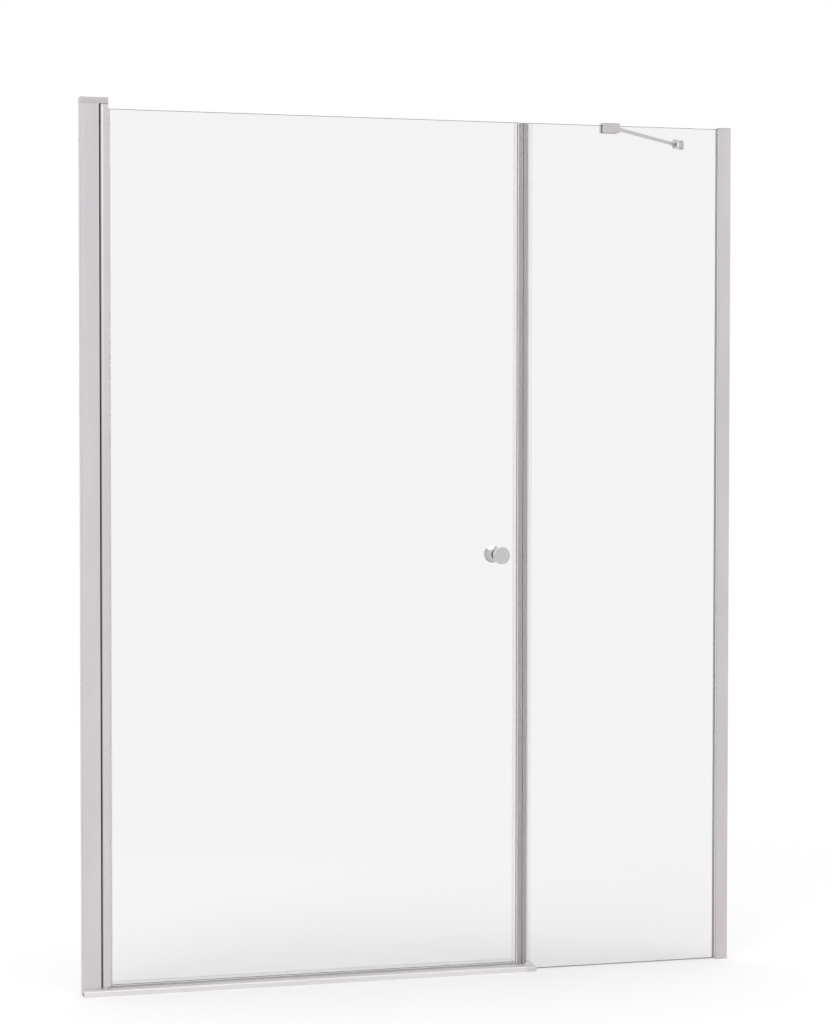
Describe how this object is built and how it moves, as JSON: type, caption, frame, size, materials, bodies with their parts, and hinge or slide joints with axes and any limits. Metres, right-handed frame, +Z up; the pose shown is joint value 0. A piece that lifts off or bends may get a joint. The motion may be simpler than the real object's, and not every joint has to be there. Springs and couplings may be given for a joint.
{
  "type": "pivot shower door",
  "caption": "Clear-glass pivot shower door with an in-line fixed panel, slim silver uprights, a low rail, round pull knobs and a wall brace, for an opening between two walls.",
  "frame": {"origin": "on the wall face of the pivot-side upright, at floor level and at the outer face of the glass", "axes": "+X from the pivot-side wall along the door and the fixed panel to the far wall, +Y into the shower, +Z up"},
  "size_m": [1.5274, 0.3472, 1.974],
  "materials": {
    "silver_anodised": "bright silver anodised, satin",
    "silver_cast": "silver satin paint on a casting",
    "silver_plastic": "silver-grey satin",
    "polished_chrome": "polished",
    "satin_chrome": "satin",
    "stainless_steel": "satin",
    "clear_glass": "clear toughened, polished edges",
    "clear_pvc": "clear, slightly cloudy",
    "magnet_grey": "matt grey bonded magnet",
    "pale_grey_rubber": "matt",
    "acetal": "natural white"
  },
  "bodies": {
    "frame": {"left_wall_channel": "silver_anodised", "pivot_jamb": "silver_anodised", "jamb_fixing_screws": "stainless_steel", "jamb_screw_caps": "silver_plastic", "pivot_gap_seal": "pale_grey_rubber", "top_pivot_block": "silver_cast", "top_block_screws": "stainless_steel", "top_pivot_bush": "acetal", "bottom_pivot_block": "silver_cast", "bottom_block_screws": "stainless_steel", "bottom_pivot_bush": "acetal", "sill_rail": "silver_anodised", "sill_end_cap": "silver_plastic", "panel_glass": "clear_glass", "panel_strip_clip": "clear_pvc", "panel_strip_magnet": "magnet_grey", "panel_sill_seal": "clear_pvc", "panel_edge_profile": "silver_anodised", "panel_glazing_rubber": "clear_pvc", "far_wall_channel": "silver_anodised", "far_channel_cap": "silver_plastic", "panel_fixing_screws": "stainless_steel", "panel_screw_caps": "silver_plastic", "brace_clamp": "satin_chrome", "brace_clamp_pads": "clear_pvc", "brace_clamp_screw": "stainless_steel", "brace_clamp_swivel": "satin_chrome", "brace_bar": "satin_chrome", "brace_grub_screws": "stainless_steel", "brace_wall_swivel": "satin_chrome", "brace_swivel_screws": "stainless_steel", "brace_wall_flange": "satin_chrome"},
    "door": {"pivot_stile": "silver_anodised", "top_stile_plug": "silver_plastic", "bottom_stile_plug": "silver_plastic", "top_pivot_pin": "stainless_steel", "bottom_pivot_pin": "stainless_steel", "pin_grub_screws": "stainless_steel", "stile_glazing_rubber": "clear_pvc", "door_glass": "clear_glass", "door_strip_clip": "clear_pvc", "door_strip_magnet": "magnet_grey", "door_drip_seal": "clear_pvc", "outer_knob": "polished_chrome", "inner_knob": "polished_chrome", "knob_grub_screw": "stainless_steel", "knob_stud": "stainless_steel", "knob_washers": "clear_pvc"}
  },
  "joints": [
    {"name": "door_swing", "type": "hinge", "parent": "frame", "child": "door", "pos_m": [0.0512, -0.002, 0], "axis": [0, 0, -1], "range_deg": [0, 100]}
  ]
}
